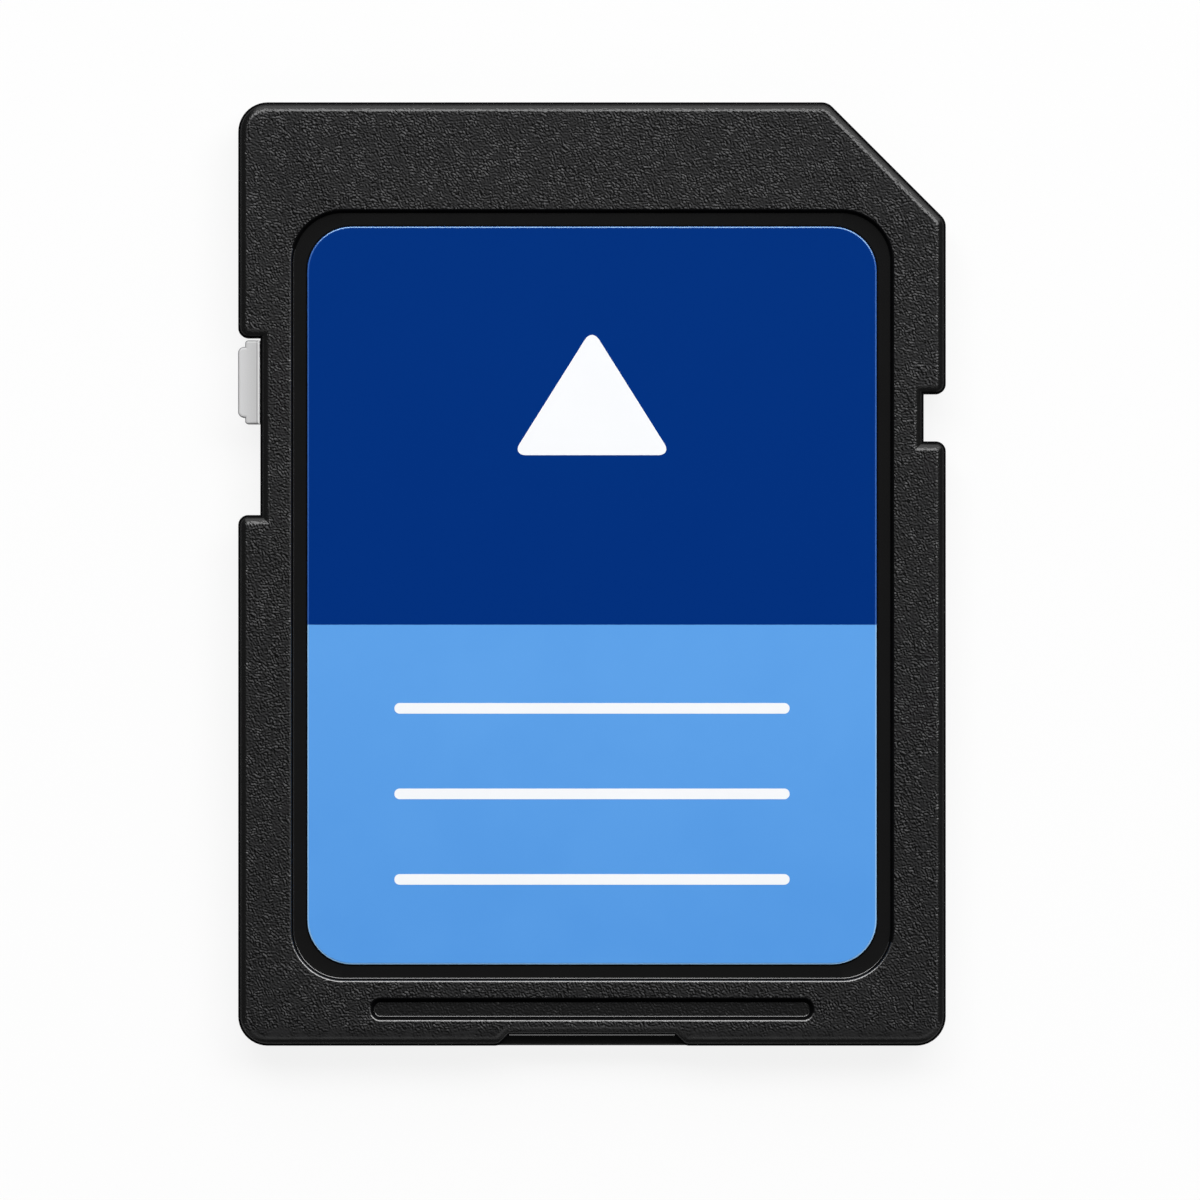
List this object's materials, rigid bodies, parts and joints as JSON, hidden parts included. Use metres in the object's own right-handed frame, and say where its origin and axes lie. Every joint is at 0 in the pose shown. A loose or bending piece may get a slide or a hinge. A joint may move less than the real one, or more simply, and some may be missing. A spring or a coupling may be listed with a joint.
{
  "type": "memory card",
  "caption": "Flat memory card with a cut corner, a two-colour label in a recess, a grip groove, a sliding lock on the left side and gold contacts in windows of the back.",
  "frame": {"origin": "under the middle of the card, on the plane of its back face", "axes": "+X across the card to the right of the label, +Y along the card towards the contact edge, +Z out of the label face; the card lies on its back"},
  "size_m": [0.024, 0.032, 0.0021],
  "materials": {
    "shell_black": "fine leather grain",
    "slider_grey": "smooth",
    "film_white": "satin",
    "print_dark_blue": "satin",
    "print_light_blue": "satin",
    "board_green": "satin",
    "contact_gold": "polished",
    "chip_black": "matt",
    "capacitor_tan": "matt",
    "resistor_dark": "matt"
  },
  "bodies": {
    "card": {"front_shell": "shell_black", "rear_shell": "shell_black", "label_film": "film_white", "label_upper_field": "print_dark_blue", "label_lower_field": "print_light_blue", "circuit_board": "board_green", "memory_chip": "chip_black", "controller_chip": "chip_black", "contact_pad_1": "contact_gold", "contact_pad_2": "contact_gold", "contact_pad_3": "contact_gold", "contact_pad_4": "contact_gold", "contact_pad_5": "contact_gold", "contact_pad_6": "contact_gold", "contact_pad_7": "contact_gold", "contact_pad_8": "contact_gold", "contact_pad_9": "contact_gold", "capacitor_1": "capacitor_tan", "capacitor_2": "capacitor_tan", "capacitor_3": "capacitor_tan", "capacitor_4": "capacitor_tan", "resistor_1": "resistor_dark", "resistor_2": "resistor_dark", "resistor_3": "resistor_dark", "resistor_4": "resistor_dark"},
    "slider": {"lock_slider": "slider_grey"}
  },
  "joints": [
    {"name": "lock_slide", "type": "slide", "parent": "card", "child": "slider", "axis": [0, -1, 0], "range_m": [0, 0.003]}
  ]
}
